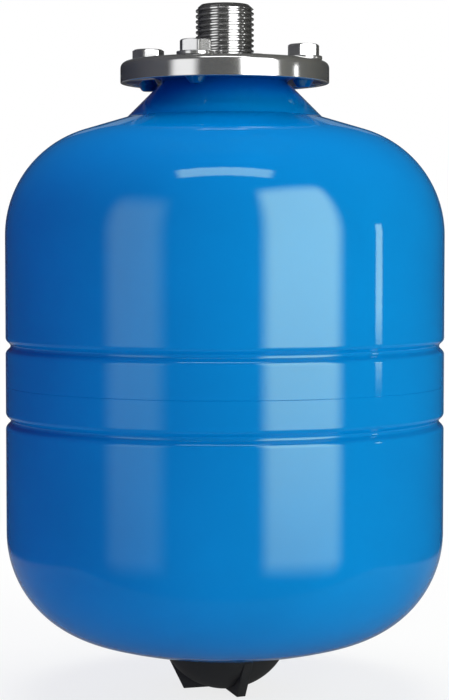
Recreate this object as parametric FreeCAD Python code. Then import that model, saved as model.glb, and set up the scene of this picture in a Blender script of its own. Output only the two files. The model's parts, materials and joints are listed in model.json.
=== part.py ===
import FreeCAD, Part
import math
import os

from FreeCAD import Placement, Rotation, Vector

# Well pressure tank: a painted steel vessel with a rubber membrane inside, a bolted flange with a
# threaded water nipple on top, and an air valve under a screwed plastic cap at the bottom.
# Millimetres, +Z up. The origin is the centre of the flange's top face, on the axis of the nipple.

# Pressed steel shells
tank_radius = 100.0
shell_wall = 1.2
cylinder_length = 134.9
knuckle_radius = 50.0
shoulder_angle = 16.6
neck_base_radius = 44.5
neck_top_radius = 28.8
neck_angle = 45.0
neck_corner_radius = 2.0
crown_radius = 222.6

# Rolled grooves, the seam between them and the band behind it
grooves_below_shoulder = 66.8
groove_spacing = 34.0
groove_depth = 2.2
groove_root_radius = 1.5
groove_bend_radius = 1.5
seam_below_grooves = 1.1
seam_bevel = 0.3
band_wall = 1.5
band_height = 22.0

# Flange, nipple and collar
flange_radius = 47.5
flange_thickness = 3.0
flange_edge_radius = 3.0
flange_rim_height = 9.7
flange_rim_wall = 3.0
flange_rim_bevel = 0.4
nipple_radius = 13.22
nipple_tail_radius = 12.2
nipple_bore_radius = 9.75
nipple_height = 25.9
nipple_bevel_width = 2.4
nipple_bevel_height = 2.1
collar_rim_clearance = 0.3
collar_bore_radius = 26.0
collar_thickness = 4.3
collar_edge_bevel = 0.6

# Flange bolts, with the blind bosses that they screw into
bolt_count = 4
bolt_circle_radius = 37.57
bolt_start_angle = -109.93
bolt_radius = 4.0
bolt_length = 10.0
bolt_point_bevel = 0.8
head_across_flats = 13.0
head_height = 5.3
head_chamfer_angle = 30.0
head_turns = (40.0, 16.0, 35.0, 11.0)
washer_radius = 8.4
washer_thickness = 1.6
washer_clearance = 0.2
bolt_hole_clearance = 0.5
thread_clearance = 0.02
bolt_tip_clearance = 0.5
boss_top_radius = 4.8
boss_bottom_radius = 2.8
boss_height = 3.0
boss_floor_radius = 0.8

# Rubber membrane
membrane_wall = 1.8
membrane_lip_thickness = 2.0
membrane_lip_clearance = 0.4
membrane_neck_clearance = 0.3
membrane_neck_drop = 3.0
membrane_neck_bend_radius = 8.0
membrane_side_clearance = 12.8
membrane_shoulder_clearance = 10.5
membrane_shoulder_radius = 40.0
membrane_bottom_clearance = 25.0
membrane_bottom_radius = 60.0

# Air valve
valve_boss_radius = 9.0
valve_boss_length = 10.0
valve_boss_stand_out = 1.0
valve_boss_weld_gap = 0.05
stem_shank_radius = 6.0
stem_shank_length = 10.0
stem_hex_across_flats = 15.0
stem_hex_height = 2.5
stem_hex_chamfer_angle = 30.0
stem_thread_radius = 7.0
stem_thread_length = 4.5
stem_tip_radius = 3.85
stem_tip_length = 4.4
stem_end_bevel = 0.4
stem_bore_radius = 2.65
stem_bore_length = 10.4
stem_air_way_radius = 1.9
stem_gasket_thickness = 1.0
stem_gasket_radius = 8.2
stem_gasket_clearance = 0.3

# Valve core, with its pin, spring and seal
core_clearance = 0.03
core_inset = 0.4
core_length = 9.5
core_pocket_radius = 1.75
core_seat_length = 3.5
pin_radius = 0.55
pin_clearance = 0.15
pin_inset = 0.3
pin_collar_radius = 1.55
pin_collar_height = 0.6
pin_collar_inset = 1.0
pin_disc_radius = 1.5
pin_disc_height = 0.5
pin_end_length = 1.0
seal_height = 0.9
seal_gap = 0.05
spring_wire_radius = 0.17
spring_radius = 1.2
spring_turns = 6
spring_end_gap = 0.02

# Protective cap
cap_dome_radius = 30.8
cap_height = 16.2
cap_wall = 2.0
cap_rim_gap = 0.4
cap_socket_wall = 2.1
cap_thread_clearance = 0.06
cap_mouth_gap = 0.4
cap_gasket_thickness = 1.2
cap_gasket_gap = 0.1
cap_gasket_clearance = 0.15
cap_tip_clearance = 0.5
fin_count = 3
fin_start_angle = -66.8
fin_thickness = 4.4
fin_edge_radius = 0.8
fin_root_radius = 27.4
fin_tip_radius = 18.9
fin_tip_height = 16.9
fin_inner_radius = 6.0
fin_inner_height = 15.7

# Heights down the axis, worked out from the sizes above
flange_rim_inner_radius = flange_radius - flange_rim_wall
flange_underside = -flange_thickness
lip_underside = flange_underside - membrane_lip_thickness
collar_underside = lip_underside - collar_thickness
neck_rise = (neck_base_radius - neck_top_radius) * math.tan(math.radians(neck_angle))
neck_base = collar_underside - neck_rise
shoulder_fall = math.tan(math.radians(shoulder_angle))
shoulder_corner = neck_base - (tank_radius - neck_base_radius) * shoulder_fall
shoulder_turn = math.radians(90 - shoulder_angle)
cylinder_top = shoulder_corner - knuckle_radius * math.tan(shoulder_turn / 2)
cylinder_bottom = cylinder_top - cylinder_length
groove_middle = cylinder_top - grooves_below_shoulder
seam = groove_middle - seam_below_grooves
shell_inner_radius = tank_radius - shell_wall
crown_centre = cylinder_bottom + math.sqrt(
    (crown_radius - knuckle_radius) ** 2 - (tank_radius - knuckle_radius) ** 2
)
pole = crown_centre - crown_radius
washer_top = washer_thickness
bolt_tip = washer_top - bolt_length
bolt_hole_radius = bolt_radius + bolt_hole_clearance
valve_boss_face = pole - valve_boss_stand_out
stem_seat = valve_boss_face - stem_gasket_thickness
stem_hex_end = stem_seat - stem_hex_height
stem_thread_end = stem_hex_end - stem_thread_length
stem_end = stem_thread_end - stem_tip_length
core_end = stem_end + core_inset
core_seat = core_end + core_length
spring_ledge = core_seat - core_seat_length
cap_dome_centre = pole - cap_height + cap_dome_radius


def at(radius, height):
    """A point of a profile: its distance from the axis and its height."""
    return Vector(radius, 0, height)


def line(start, end):
    return Part.LineSegment(start, end).toShape()


def rounded_edges(corners, closed):
    """Straight edges through (radius, height, rounding) corners, with arcs at the rounded ones."""
    if closed:
        corners = [corners[-1]] + corners + [corners[0]]
    edges = []
    start = None if closed else at(*corners[0][:2])
    first_point = None
    for before, corner, after in zip(corners, corners[1:], corners[2:]):
        here = at(*corner[:2])
        entry = leave = here
        arc = None
        if corner[2] > 0:
            back = (at(*before[:2]) - here).normalize()
            ahead = (at(*after[:2]) - here).normalize()
            half_angle = back.getAngle(ahead) / 2
            trim = corner[2] / math.tan(half_angle)
            entry = here + back * trim
            leave = here + ahead * trim
            inward = (back + ahead).normalize()
            middle = here + inward * (corner[2] / math.sin(half_angle) - corner[2])
            arc = Part.Arc(entry, middle, leave).toShape()
        if start is not None:
            edges.append(line(start, entry))
        else:
            first_point = entry
        if arc is not None:
            edges.append(arc)
        start = leave
    end = first_point if closed else at(*corners[-1][:2])
    edges.append(line(start, end))
    return edges


def turned(corners):
    """A solid of revolution about the axis, from a closed profile of rounded corners."""
    wire = Part.Wire(rounded_edges(corners, closed=True))
    return Part.Face(wire).revolve(Vector(), Vector(0, 0, 1), 360)


def turned_wall(edges, thickness):
    """A wall of even thickness, turned about the axis, on the inside of an open profile."""
    wire = Part.Wire(edges)
    section = wire.makeOffset2D(-thickness, join=0, fill=True, openResult=True)
    return section.revolve(Vector(), Vector(0, 0, 1), 360)


def ring(inner_radius, outer_radius, bottom, top):
    return turned([
        (inner_radius, bottom, 0), (outer_radius, bottom, 0), (outer_radius, top, 0), (inner_radius, top, 0),
    ])


def rod(radius, bottom, top):
    return Part.makeCylinder(radius, top - bottom, Vector(0, 0, bottom))


def hexagon(across_flats, bottom, top):
    """An upright hexagonal prism with a corner on the X axis."""
    corner_radius = across_flats / math.sqrt(3)
    corners = [
        Vector(corner_radius * math.cos(math.radians(60 * side)),
               corner_radius * math.sin(math.radians(60 * side)), bottom)
        for side in range(7)
    ]
    return Part.Face(Part.makePolygon(corners)).extrude(Vector(0, 0, top - bottom))


def chamfered_hexagon(across_flats, bottom, top, angle):
    """A hexagon whose top corners are turned off by a cone, as on a bolt's head."""
    corner_radius = across_flats / math.sqrt(3)
    flat_radius = across_flats / 2 * 0.95
    fall = (corner_radius - flat_radius) * math.tan(math.radians(angle))
    limit = turned([
        (0, bottom, 0), (corner_radius, bottom, 0), (corner_radius, top - fall, 0),
        (flat_radius, top, 0), (0, top, 0),
    ])
    return hexagon(across_flats, bottom, top).common(limit)


def groove_corners(height):
    """The three corners of one rolled groove, met from above."""
    root_corner_depth = groove_depth + groove_root_radius * (math.sqrt(2) - 1)
    shoulder_radius = groove_bend_radius + shell_wall
    return [
        (tank_radius, height + root_corner_depth, shoulder_radius),
        (tank_radius - root_corner_depth, height, groove_root_radius),
        (tank_radius, height - root_corner_depth, shoulder_radius),
    ]


def bolt_places():
    """The place of each bolt on its circle, as points at height zero."""
    for number in range(bolt_count):
        angle = math.radians(bolt_start_angle + number * 360 / bolt_count)
        yield Vector(bolt_circle_radius * math.cos(angle), bolt_circle_radius * math.sin(angle), 0)


def make_upper_shell():
    above_neck = collar_underside + shell_wall * 2
    neck_reach = above_neck - collar_underside
    wall = turned_wall(rounded_edges([
        (neck_top_radius - neck_reach / math.tan(math.radians(neck_angle)), above_neck, 0),
        (neck_base_radius, neck_base, neck_corner_radius),
        (tank_radius, shoulder_corner, knuckle_radius),
        *groove_corners(groove_middle + groove_spacing / 2),
        (tank_radius, seam, 0),
    ], closed=False), shell_wall)
    wall = wall.cut(rod(tank_radius, collar_underside, above_neck + shell_wall))
    return wall.cut(seam_groove())


def seam_groove():
    """The fine bevel that the two shells' edges make together at the seam."""
    return turned([
        (tank_radius - seam_bevel, seam, 0),
        (tank_radius + seam_bevel, seam - 2 * seam_bevel, 0),
        (tank_radius + seam_bevel, seam + 2 * seam_bevel, 0),
    ])


def make_lower_shell():
    down_side = rounded_edges([
        (tank_radius, seam, 0),
        *groove_corners(groove_middle - groove_spacing / 2),
        (tank_radius, cylinder_bottom, 0),
    ], closed=False)
    tilt = math.asin((tank_radius - knuckle_radius) / (crown_radius - knuckle_radius))
    knuckle_axis = tank_radius - knuckle_radius
    knuckle_turn = math.pi / 2 - tilt
    knuckle = Part.Arc(
        at(tank_radius, cylinder_bottom),
        at(knuckle_axis + knuckle_radius * math.cos(knuckle_turn / 2),
           cylinder_bottom - knuckle_radius * math.sin(knuckle_turn / 2)),
        at(knuckle_axis + knuckle_radius * math.sin(tilt),
           cylinder_bottom - knuckle_radius * math.cos(tilt)),
    ).toShape()
    hole_tilt = math.asin((valve_boss_radius + valve_boss_weld_gap) / crown_radius)
    crown = Part.Arc(
        at(crown_radius * math.sin(tilt), crown_centre - crown_radius * math.cos(tilt)),
        at(crown_radius * math.sin((tilt + hole_tilt) / 2),
           crown_centre - crown_radius * math.cos((tilt + hole_tilt) / 2)),
        at(crown_radius * math.sin(hole_tilt), crown_centre - crown_radius * math.cos(hole_tilt)),
    ).toShape()
    wall = turned_wall(down_side + [knuckle, crown], shell_wall)
    hole = rod(valve_boss_radius + valve_boss_weld_gap, pole - shell_wall, pole + 3 * shell_wall)
    return wall.cut(hole).cut(seam_groove())


def make_seam_band():
    """The steel band behind the seam, held between the two grooves."""
    return ring(shell_inner_radius - band_wall, shell_inner_radius,
                groove_middle - band_height / 2, groove_middle + band_height / 2)


def make_neck_collar():
    """The welded ring on the neck, with a blind threaded boss for each bolt."""
    collar_radius = flange_rim_inner_radius - collar_rim_clearance
    collar = turned([
        (collar_bore_radius, collar_underside, 0),
        (collar_radius, collar_underside, collar_edge_bevel),
        (collar_radius, lip_underside, collar_edge_bevel),
        (collar_bore_radius, lip_underside, 0),
    ])
    boss = turned([
        (0, collar_underside - boss_height, 0),
        (boss_bottom_radius, collar_underside - boss_height, boss_floor_radius),
        (boss_top_radius, collar_underside, 0),
        (boss_top_radius, collar_underside + collar_thickness / 2, 0),
        (0, collar_underside + collar_thickness / 2, 0),
    ])
    thread_hole = rod(bolt_radius + thread_clearance, bolt_tip - bolt_tip_clearance, 0)
    for place in bolt_places():
        collar = collar.fuse(boss.translated(place)).cut(thread_hole.translated(place))
    return collar.removeSplitter()


def make_flange():
    """A pressed cover plate with a turned-down rim, drilled for the nipple and the bolts."""
    plate = turned([
        (nipple_tail_radius, 0, 0),
        (flange_radius, 0, flange_edge_radius),
        (flange_radius, -flange_rim_height, flange_rim_bevel),
        (flange_rim_inner_radius, -flange_rim_height, flange_rim_bevel),
        (flange_rim_inner_radius, flange_underside, 0),
        (nipple_tail_radius, flange_underside, 0),
    ])
    bolt_hole = rod(bolt_hole_radius, flange_underside - flange_thickness, flange_thickness)
    for place in bolt_places():
        plate = plate.cut(bolt_hole.translated(place))
    return plate


def make_nipple():
    """The threaded water pipe, at the outside size of its thread, with its tail in the flange."""
    return turned([
        (nipple_bore_radius, flange_underside, 0),
        (nipple_tail_radius, flange_underside, 0),
        (nipple_tail_radius, 0, 0),
        (nipple_radius, 0, 0),
        (nipple_radius, nipple_height - nipple_bevel_height, 0),
        (nipple_radius - nipple_bevel_width, nipple_height, 0),
        (nipple_bore_radius, nipple_height, 0),
    ])


def make_membrane():
    """The rubber bag that holds the water, hung by its lip between the collar and the flange."""
    neck_radius = collar_bore_radius - membrane_neck_clearance
    bag_radius = shell_inner_radius - membrane_side_clearance
    bottom = pole + membrane_bottom_clearance
    bag = turned_wall(rounded_edges([
        (neck_radius, flange_underside, 0),
        (neck_radius, neck_base - membrane_neck_drop, membrane_neck_bend_radius),
        (bag_radius, shoulder_corner - membrane_shoulder_clearance, membrane_shoulder_radius),
        (bag_radius, bottom, membrane_bottom_radius),
        (0, bottom, 0),
    ], closed=False), membrane_wall)
    lip_radius = flange_rim_inner_radius - membrane_lip_clearance
    lip = ring(neck_radius - membrane_wall, lip_radius, lip_underside, flange_underside)
    bolt_hole = rod(bolt_hole_radius, lip_underside - flange_thickness, flange_thickness)
    for place in bolt_places():
        lip = lip.cut(bolt_hole.translated(place))
    return bag.fuse(lip).removeSplitter()


def make_bolt(place, turn):
    head = chamfered_hexagon(head_across_flats, washer_top, washer_top + head_height, head_chamfer_angle)
    shank = turned([
        (0, bolt_tip, 0),
        (bolt_radius - bolt_point_bevel, bolt_tip, 0),
        (bolt_radius, bolt_tip + bolt_point_bevel, 0),
        (bolt_radius, washer_top + head_height / 2, 0),
        (0, washer_top + head_height / 2, 0),
    ])
    bolt = head.fuse(shank).removeSplitter()
    bolt.Placement = Placement(place, Rotation(Vector(0, 0, 1), turn))
    return bolt


def make_washer(place):
    return ring(bolt_radius + washer_clearance, washer_radius, 0, washer_top).translated(place)


def make_valve_boss():
    """The steel bush welded through the tank's bottom, which the valve stem screws into."""
    return ring(stem_shank_radius + thread_clearance, valve_boss_radius,
                valve_boss_face, valve_boss_face + valve_boss_length)


def make_stem_gasket():
    return ring(stem_shank_radius + stem_gasket_clearance, stem_gasket_radius,
                stem_seat, valve_boss_face)


def make_valve_stem():
    """The brass stem: a shank in the boss, a hexagon, the cap's thread and the filling tip."""
    shank_end = stem_seat + stem_shank_length
    body = turned([
        (0, stem_end, 0),
        (stem_tip_radius - stem_end_bevel, stem_end, 0),
        (stem_tip_radius, stem_end + stem_end_bevel, 0),
        (stem_tip_radius, stem_thread_end, 0),
        (stem_thread_radius - stem_end_bevel, stem_thread_end, 0),
        (stem_thread_radius, stem_thread_end + stem_end_bevel, 0),
        (stem_thread_radius, stem_hex_end, 0),
        (stem_shank_radius, stem_seat, 0),
        (stem_shank_radius, shank_end - stem_end_bevel, 0),
        (stem_shank_radius - stem_end_bevel, shank_end, 0),
        (0, shank_end, 0),
    ])
    collar = chamfered_hexagon(stem_hex_across_flats, stem_hex_end, stem_seat, stem_hex_chamfer_angle)
    bore = rod(stem_bore_radius, stem_end, stem_end + stem_bore_length)
    air_way = rod(stem_air_way_radius, stem_end, shank_end)
    return body.fuse(collar).cut(bore).cut(air_way).removeSplitter()


def make_valve_core():
    """The brass barrel that screws into the stem's tip and guides the valve pin."""
    pin_hole_radius = pin_radius + pin_clearance
    return turned([
        (pin_hole_radius, core_seat, 0),
        (stem_bore_radius - core_clearance, core_seat, 0),
        (stem_bore_radius - core_clearance, core_end, 0),
        (core_pocket_radius, core_end, 0),
        (core_pocket_radius, spring_ledge, 0),
        (pin_hole_radius, spring_ledge, 0),
    ])


def make_valve_pin():
    """The pin that is pressed in to let air past, with its spring collar and its seal disc."""
    pin_end = stem_end + pin_inset
    collar_start = core_end + pin_collar_inset
    disc_start = core_seat + seal_gap + seal_height
    disc_end = disc_start + pin_disc_height
    return turned([
        (0, pin_end, 0),
        (pin_radius, pin_end, 0),
        (pin_radius, collar_start, 0),
        (pin_collar_radius, collar_start, 0),
        (pin_collar_radius, collar_start + pin_collar_height, 0),
        (pin_radius, collar_start + pin_collar_height, 0),
        (pin_radius, disc_start, 0),
        (pin_disc_radius, disc_start, 0),
        (pin_disc_radius, disc_end, 0),
        (pin_radius, disc_end, 0),
        (pin_radius, disc_end + pin_end_length, 0),
        (0, disc_end + pin_end_length, 0),
    ])


def make_valve_seal():
    seal_start = core_seat + seal_gap
    return ring(pin_radius, pin_disc_radius, seal_start, seal_start + seal_height)


def make_valve_spring():
    """The coil spring round the pin, from its collar to the ledge in the core."""
    bottom = core_end + pin_collar_inset + pin_collar_height + spring_wire_radius + spring_end_gap
    top = spring_ledge - spring_wire_radius - spring_end_gap
    path = Part.makeHelix((top - bottom) / spring_turns, top - bottom, spring_radius)
    start = Vector(spring_radius, 0, 0)
    wire = Part.Wire(Part.makeCircle(spring_wire_radius, start, Vector(0, 1, 0)))
    coil = Part.Wire(path).makePipeShell([wire], True, True)
    return coil.translated(Vector(0, 0, bottom))


def make_fin():
    """One grip fin of the cap, standing in the XZ plane."""
    outline = [
        at(0, pole), at(fin_root_radius, pole), at(fin_tip_radius, pole - fin_tip_height),
        at(fin_inner_radius, pole - fin_inner_height), at(0, pole - fin_inner_height), at(0, pole),
    ]
    plate = Part.Face(Part.makePolygon(outline)).extrude(Vector(0, fin_thickness, 0))
    plate.translate(Vector(0, -fin_thickness / 2, 0))
    hidden_reach = fin_inner_radius + fin_edge_radius
    outer_edges = [
        edge for edge in plate.Edges
        if edge.BoundBox.ZMin < pole - fin_edge_radius and edge.BoundBox.XMax > hidden_reach
    ]
    return plate.makeFillet(fin_edge_radius, outer_edges)


def make_protective_cap():
    """The domed plastic cap over the valve, with a threaded socket inside and three grip fins."""
    dome_inner_radius = cap_dome_radius - cap_wall
    centre = Vector(0, 0, cap_dome_centre)
    dome = Part.makeSphere(cap_dome_radius, centre)
    for number in range(fin_count):
        fin = make_fin()
        fin.rotate(Vector(), Vector(0, 0, 1), fin_start_angle + number * 360 / fin_count)
        dome = dome.fuse(fin)
    dome = dome.cut(Part.makeSphere(dome_inner_radius, centre))
    tank_room = Part.makeSphere(crown_radius + cap_rim_gap, Vector(0, 0, crown_centre))
    dome = dome.cut(tank_room)
    thread_radius = stem_thread_radius + cap_thread_clearance
    mouth = stem_hex_end - cap_mouth_gap
    seat = stem_thread_end - cap_gasket_gap - cap_gasket_thickness
    socket = rod(thread_radius + cap_socket_wall, cap_dome_centre - cap_dome_radius + cap_wall / 2, mouth)
    cap = dome.fuse(socket)
    cap = cap.cut(rod(thread_radius, seat, pole))
    cap = cap.cut(rod(stem_tip_radius + cap_tip_clearance, stem_end - cap_tip_clearance, pole))
    return cap.removeSplitter()


def make_cap_gasket():
    seat = stem_thread_end - cap_gasket_gap - cap_gasket_thickness
    outer_radius = stem_thread_radius + cap_thread_clearance - cap_gasket_clearance
    return ring(stem_tip_radius + cap_tip_clearance, outer_radius, seat, seat + cap_gasket_thickness)


pieces = {
    "upper_shell": make_upper_shell(),
    "lower_shell": make_lower_shell(),
    "seam_band": make_seam_band(),
    "neck_collar": make_neck_collar(),
    "flange": make_flange(),
    "water_nipple": make_nipple(),
    "membrane": make_membrane(),
    "valve_boss": make_valve_boss(),
    "stem_gasket": make_stem_gasket(),
    "valve_stem": make_valve_stem(),
    "valve_core": make_valve_core(),
    "valve_pin": make_valve_pin(),
    "valve_seal": make_valve_seal(),
    "valve_spring": make_valve_spring(),
    "protective_cap": make_protective_cap(),
    "cap_gasket": make_cap_gasket(),
}
for number, (place, turn) in enumerate(zip(bolt_places(), head_turns), start=1):
    pieces[f"flange_bolt_{number}"] = make_bolt(place, turn)
    pieces[f"bolt_washer_{number}"] = make_washer(place)

os.makedirs("parts", exist_ok=True)
for name, shape in pieces.items():
    shape.exportStep(f"parts/{name}.step")
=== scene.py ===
import json
import math

import bmesh
import bpy
from mathutils import Matrix, Vector


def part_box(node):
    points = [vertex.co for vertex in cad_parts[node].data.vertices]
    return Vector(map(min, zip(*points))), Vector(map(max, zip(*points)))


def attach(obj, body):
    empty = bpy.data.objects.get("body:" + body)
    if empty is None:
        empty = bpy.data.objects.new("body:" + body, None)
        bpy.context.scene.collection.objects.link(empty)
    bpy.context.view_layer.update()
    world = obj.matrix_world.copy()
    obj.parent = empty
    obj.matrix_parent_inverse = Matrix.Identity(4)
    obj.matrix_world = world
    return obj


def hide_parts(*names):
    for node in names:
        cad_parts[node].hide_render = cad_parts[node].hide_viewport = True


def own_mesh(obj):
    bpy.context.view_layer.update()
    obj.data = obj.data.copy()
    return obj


# A well pressure tank: glossy blue shells with two rolled grooves, a stainless flange with a
# threaded nipple on top and a finned black cap below. Metres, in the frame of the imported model.

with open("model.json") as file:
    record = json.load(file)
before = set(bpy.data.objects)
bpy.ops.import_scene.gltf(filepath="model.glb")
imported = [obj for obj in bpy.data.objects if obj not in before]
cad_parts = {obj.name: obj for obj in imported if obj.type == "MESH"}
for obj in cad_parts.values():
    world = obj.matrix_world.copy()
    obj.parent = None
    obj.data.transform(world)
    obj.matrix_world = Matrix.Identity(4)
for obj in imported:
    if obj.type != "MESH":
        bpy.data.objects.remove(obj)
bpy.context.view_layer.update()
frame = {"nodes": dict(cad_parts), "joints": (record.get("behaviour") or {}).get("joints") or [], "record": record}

# Sizes of the shells that the frame's boxes don't give
SHELL_WALL = 0.0012
KNUCKLE_RADIUS = 0.050
SHOULDER_ANGLE = math.radians(16.6)
NECK_BASE_RADIUS = 0.0445
NECK_TOP_RADIUS = 0.0288
NECK_CORNER_RADIUS = 0.002
# Height up the neck over which the paint darkens: painted shade under the flange
NECK_PAINTED_SHADE_HEIGHT = 0.014
CROWN_RADIUS = 0.2226
GROOVE_SPACING = 0.034
GROOVES_BELOW_CYLINDER_TOP = 0.0668
GROOVE_DEPTH = 0.0022
GROOVE_ROOT_RADIUS = 0.0015
GROOVE_SHOULDER_RADIUS = 0.0027
SEAM_BELOW_GROOVES = 0.0011
SEAM_BEVEL = 0.00014
CYLINDER_LENGTH = 0.1349
VALVE_HOLE_RADIUS = 0.00905

# Sizes of the fittings
FLANGE_EDGE_RADIUS = 0.003
FLANGE_THICKNESS = 0.003
FLANGE_RIM_WALL = 0.003
FLANGE_RIM_ROUNDING = 0.0005
RIM_INNER_ROUNDING = 0.0004
COLLAR_BORE_RADIUS = 0.026
COLLAR_EDGE_RADIUS = 0.0006
BOSS_TOP_RADIUS = 0.0048
BOSS_BOTTOM_RADIUS = 0.0028
BOSS_HEIGHT = 0.003
BOSS_ROUNDING = 0.0018
BOLT_COUNT = 4
BOLT_CIRCLE_RADIUS = 0.03757
BOLT_START_ANGLE = math.radians(-109.93)
BOLT_HEAD_TURNS = (40.0, 16.0, 35.0, 11.0)
BOLT_RADIUS = 0.004
BOLT_HOLE_RADIUS = 0.0045
BOLT_TIP_BEVEL = 0.0008
BOLT_TIP_CLEARANCE = 0.0005
HEAD_ACROSS_FLATS = 0.013
HEAD_EDGE = 0.0002
WASHER_RADIUS = 0.0084
WASHER_HOLE_RADIUS = 0.0042
WASHER_EDGE_RADIUS = 0.00025
WASHER_HOLE_EDGE_RADIUS = 0.0002
THREAD_PITCH = 0.00242
THREAD_DEPTH = 0.00098
THREAD_CREST_SHARE = 0.28
THREAD_ROOT_SHARE = 0.24
THREAD_ROWS_PER_TURN = 20
THREAD_MERGE_DISTANCE = 0.00002
FIRST_CREST_HEIGHT = 0.02365
NIPPLE_TAIL_RADIUS = 0.0122
NIPPLE_BORE_RADIUS = 0.00975
NIPPLE_BEVEL_WIDTH = 0.0024
NIPPLE_BEVEL_HEIGHT = 0.0021
NIPPLE_BORE_BEVEL = 0.0003
CAP_DOME_RADIUS = 0.0308
CAP_HEIGHT = 0.0162
CAP_WALL = 0.002
CAP_RIM_GAP = 0.0004
CAP_SOCKET_RADIUS = 0.00916
CAP_THREAD_RADIUS = 0.00706
CAP_TIP_RADIUS = 0.00435
CAP_SOCKET_REACH = 0.0085
CAP_TIP_CLEARANCE = 0.0005
FIN_COUNT = 3
FIN_START_ANGLE = math.radians(-66.8)
FIN_THICKNESS = 0.0044
FIN_EDGE_RADIUS = 0.0008
SPRING_RADIUS = 0.0012
SPRING_WIRE_RADIUS = 0.00017
SPRING_TURNS = 6
SPRING_POINTS_PER_TURN = 32
CUT_OVERSHOOT = 0.001

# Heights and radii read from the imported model
shell_low, shell_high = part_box("upper_shell")
TANK_RADIUS = min(shell_high.x, shell_high.y)
COLLAR_LOW = shell_high.z
SEAM = shell_low.z
CYLINDER_TOP = SEAM + SEAM_BELOW_GROOVES + GROOVES_BELOW_CYLINDER_TOP
CYLINDER_BOTTOM = CYLINDER_TOP - CYLINDER_LENGTH
CROWN_CENTRE = CYLINDER_BOTTOM + math.sqrt(
    (CROWN_RADIUS - KNUCKLE_RADIUS) ** 2 - (TANK_RADIUS - KNUCKLE_RADIUS) ** 2
)
POLE = CROWN_CENTRE - CROWN_RADIUS
FLANGE_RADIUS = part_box("flange")[1].x
FLANGE_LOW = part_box("flange")[0].z
COLLAR_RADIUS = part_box("neck_collar")[1].x
COLLAR_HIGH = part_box("neck_collar")[1].z
NIPPLE_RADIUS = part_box("water_nipple")[1].x
NIPPLE_LOW, NIPPLE_HIGH = (corner.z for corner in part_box("water_nipple"))
WASHER_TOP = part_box("bolt_washer_1")[1].z
BOLT_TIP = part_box("flange_bolt_1")[0].z
HEAD_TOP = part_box("flange_bolt_1")[1].z

# The photo's camera, solved from the outline: its place, tilt and focal length in the photo's pixels
CAMERA_PLACE = (0.0, -0.91986, -0.08176)
CAMERA_TILT_DOWN = 0.0536
FOCAL_PIXELS = 2008.2
PHOTO_LONG_SIDE = 700
PHOTO_SHORT_SIDE = 449
CENTRE_PIXEL = (224.8, 350.0)
SENSOR_WIDTH = 36.0

# The studio: its even light, what the gloss shows of it in front and behind, and the floor's white
TANK_MIDDLE = -0.131
DAYLIGHT = 0.13
DAYLIGHT_TINT = (0.05, 0.1, 1.5)
MIRRORED_DAYLIGHT = (0.1, 0.03)
FLOOR_GLOW = 0.3
FLOOR_GAP = 0.0002

# The pale floor that the gloss mirrors: its light, how fast its edge drops to the sides and to the
# front, and the depths below that edge where it fades in
MIRRORED_FLOOR = 0.22
FLOOR_EDGE_SLOPE_ACROSS = 0.2074
FLOOR_EDGE_SLOPE_NEARER = 0.9539
FLOOR_EDGE_DEPTHS = (0.09, 0.13)


class Link:
    """A value on its way through a node tree. Arithmetic on it adds Math nodes."""

    def __init__(self, graph, socket):
        self.graph = graph
        self.socket = socket

    def __add__(self, other):
        return self.graph.math("ADD", self, other)

    def __radd__(self, other):
        return self.graph.math("ADD", other, self)

    def __sub__(self, other):
        return self.graph.math("SUBTRACT", self, other)

    def __rsub__(self, other):
        return self.graph.math("SUBTRACT", other, self)

    def __mul__(self, other):
        return self.graph.math("MULTIPLY", self, other)

    def __rmul__(self, other):
        return self.graph.math("MULTIPLY", other, self)

    def __truediv__(self, other):
        return self.graph.math("DIVIDE", self, other)

    def __rtruediv__(self, other):
        return self.graph.math("DIVIDE", other, self)

    def __pow__(self, other):
        return self.graph.math("POWER", self, other)

    def least(self, other):
        return self.graph.math("MINIMUM", self, other)

    def most(self, other):
        return self.graph.math("MAXIMUM", self, other)

    def size(self):
        return self.graph.math("ABSOLUTE", self)

    def fraction(self):
        return self.graph.math("FRACT", self)

    def sine(self):
        return self.graph.math("SINE", self)

    def cosine(self):
        return self.graph.math("COSINE", self)

    def ramp(self, low, high):
        """0 below low, 1 above high, and smooth between."""
        node = self.graph.node(
            "ShaderNodeMapRange", {"interpolation_type": "SMOOTHSTEP"},
            {"Value": self, "From Min": low, "From Max": high},
        )
        return Link(self.graph, node.outputs["Result"])


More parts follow.
